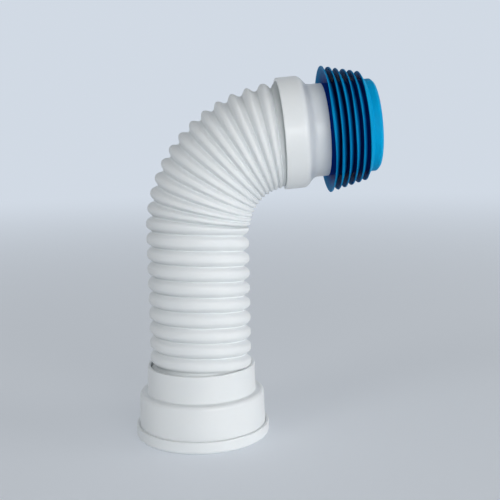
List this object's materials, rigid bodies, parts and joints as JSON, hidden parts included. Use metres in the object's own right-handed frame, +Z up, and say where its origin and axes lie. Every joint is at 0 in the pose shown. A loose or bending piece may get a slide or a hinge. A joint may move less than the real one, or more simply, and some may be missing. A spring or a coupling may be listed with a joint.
{
  "type": "flexible toilet pan connector",
  "caption": "Flexible toilet pan connector: a ribbed white hose bent over to one side, with a stepped pan socket below and a finned blue seal on its outlet spigot.",
  "frame": {"origin": "centre of the pan socket's mouth, on the plane the retaining ring stands on", "axes": "+Z up the socket's axis, +X towards the outlet spigot, with the hose's bend in the XZ plane"},
  "size_m": [0.2316, 0.126, 0.3419],
  "materials": {
    "white_hose": "satin white flexible plastic",
    "white_moulding": "smooth white moulded plastic",
    "blue_seal": "smooth blue soft elastomer"
  },
  "bodies": {
    "root": {"flexible_hose": "white_hose", "pan_socket": "white_moulding", "seal_retaining_ring": "white_moulding", "pan_lip_seal": "blue_seal", "outlet_spigot": "white_moulding", "finned_seal": "blue_seal"}
  },
  "joints": []
}
